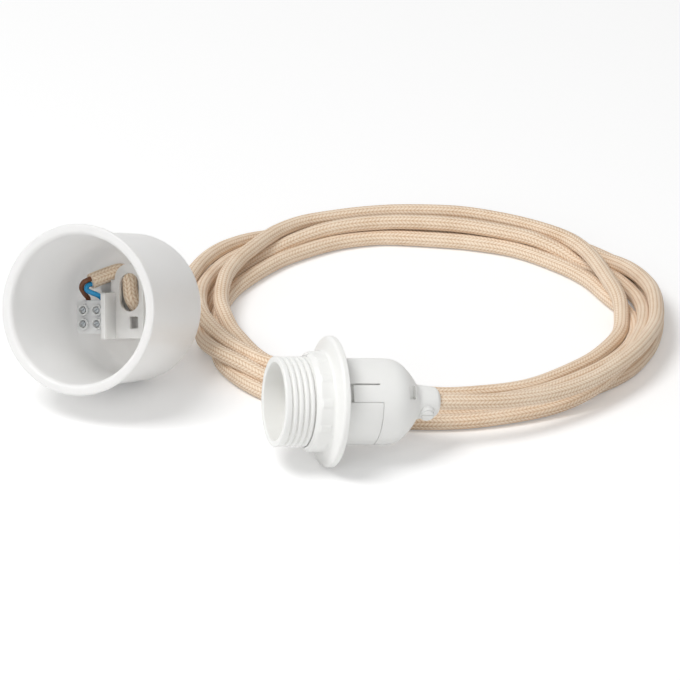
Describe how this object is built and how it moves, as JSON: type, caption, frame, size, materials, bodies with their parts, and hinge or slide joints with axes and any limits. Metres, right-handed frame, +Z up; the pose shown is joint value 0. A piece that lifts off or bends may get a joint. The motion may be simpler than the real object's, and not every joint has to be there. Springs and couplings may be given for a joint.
{
  "type": "pendant cord set",
  "caption": "Screw-shell lampholder with shade ring, joined by a braided textile cord in loose round turns to a ceiling cup that holds its bracket and terminal block.",
  "frame": {"origin": "on the table, under the middle of the box round the lampholder and the ceiling cup", "axes": "+Z up; the picture looks along +Y, 25 degrees down; the lampholder's mouth points to -X and the cup's mouth to -Y, both a little up"},
  "size_m": [0.286, 0.27, 0.083],
  "materials": {
    "white_plastic": "moulded, satin gloss",
    "insert_plastic": "moulded, matt",
    "clear_plastic": "translucent moulded",
    "textile": "braided textile",
    "brass": "stamped, bright",
    "steel": "plated screw",
    "brown_pvc": "smooth insulation",
    "blue_pvc": "smooth insulation"
  },
  "bodies": {
    "root": {"holder_skirt": "white_plastic", "shade_ring": "white_plastic", "holder_cap": "white_plastic", "cord_grip_screw": "white_plastic", "contact_insert": "insert_plastic", "centre_contact": "brass", "side_contact": "brass", "terminal_clamp_brown": "brass", "terminal_clamp_blue": "brass", "terminal_screw_brown": "steel", "terminal_screw_blue": "steel", "holder_core_brown": "brown_pvc", "holder_core_blue": "blue_pvc", "ceiling_cup": "white_plastic", "cord_bracket": "white_plastic", "terminal_block": "clear_plastic", "block_barrel_brown": "brass", "block_barrel_blue": "brass", "block_screw_brown_cord": "steel", "block_screw_brown_mains": "steel", "block_screw_blue_cord": "steel", "block_screw_blue_mains": "steel", "cord_tail": "textile", "cup_core_brown": "brown_pvc", "cup_core_blue": "blue_pvc", "cord_coil": "textile", "cord_lead_out": "textile", "cord_lead_in": "textile"}
  },
  "joints": []
}
